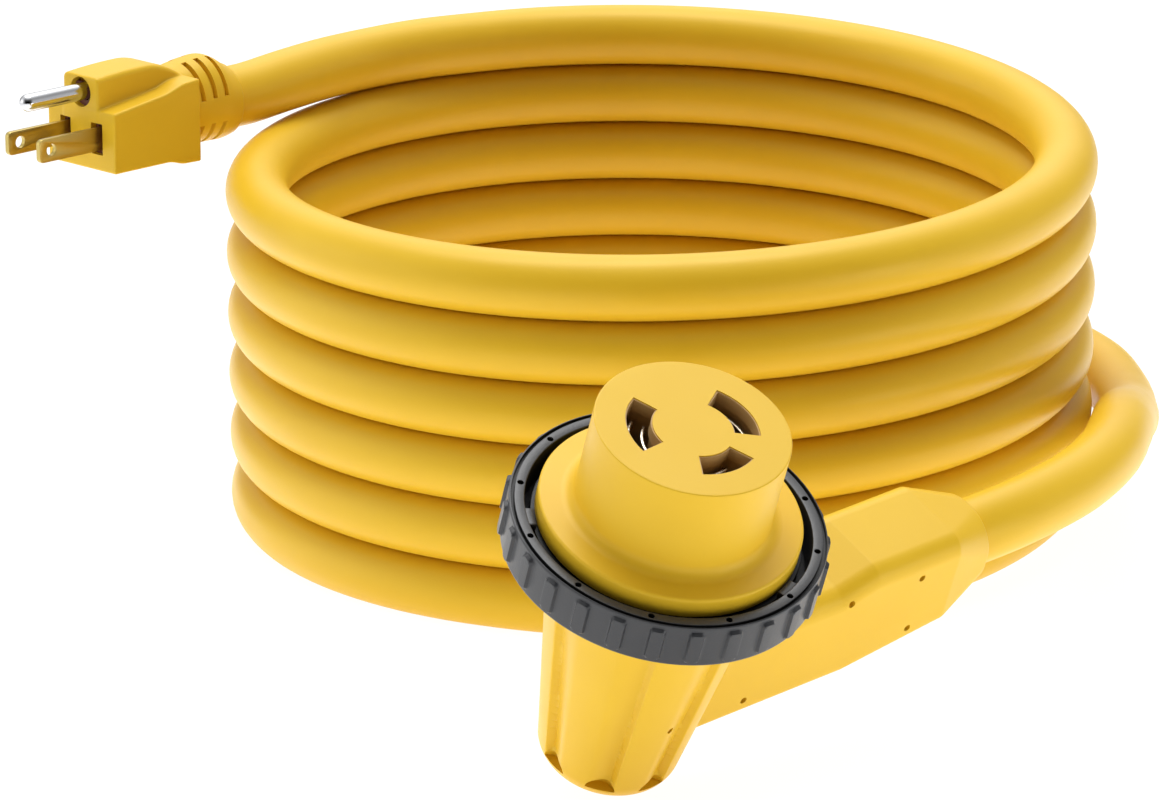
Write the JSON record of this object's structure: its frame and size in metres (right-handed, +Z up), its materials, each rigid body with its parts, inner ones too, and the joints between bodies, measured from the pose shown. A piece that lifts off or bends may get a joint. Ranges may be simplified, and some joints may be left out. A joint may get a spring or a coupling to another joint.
{
  "type": "shore power cord",
  "caption": "Coiled heavy yellow power cord with a grounded household plug and a right-angle locking connector with a turning ring.",
  "frame": {"origin": "on the floor, under the middle of the bounding box of the right-angle connector, the object at the end of the free cord", "axes": "+Z up, +Y away from the viewer of the picture, from the connector towards the coil; +X to the right in the picture"},
  "size_m": [0.3094, 0.414, 0.1252],
  "materials": {
    "yellow_vinyl": "semi-matte moulded vinyl",
    "cord_jacket": "semi-matte extruded vinyl",
    "ring_plastic": "satin moulded plastic",
    "brown_insulator": "matte moulded plastic",
    "contact_metal": "bright pressed strip",
    "blade_metal": "satin brass",
    "pin_metal": "polished",
    "green_wire": "smooth insulation",
    "white_wire": "smooth insulation",
    "black_wire": "smooth insulation"
  },
  "bodies": {
    "cord_and_housings": {"connector_body": "yellow_vinyl", "socket_front": "yellow_vinyl", "contact_carrier": "brown_insulator", "contact_ground": "contact_metal", "contact_neutral": "contact_metal", "contact_line": "contact_metal", "connector_wire_ground": "green_wire", "connector_wire_neutral": "white_wire", "connector_wire_line": "black_wire", "connector_cord_end": "cord_jacket", "plug_body": "yellow_vinyl", "plug_bridge": "brown_insulator", "blade_neutral": "blade_metal", "blade_line": "blade_metal", "ground_pin": "pin_metal", "plug_cord_end": "cord_jacket", "plug_wire_ground": "green_wire", "plug_wire_neutral": "white_wire", "plug_wire_line": "black_wire", "cord_coil": "cord_jacket", "cord_loop": "cord_jacket", "cord_tail": "cord_jacket"},
    "ring": {"locking_ring": "ring_plastic"}
  },
  "joints": [
    {"name": "ring_turn", "type": "hinge", "parent": "cord_and_housings", "child": "ring", "pos_m": [-0.01435, -0.03972, 0.09971], "axis": [0.1929, -0.4015, 0.8953], "continuous": true}
  ]
}
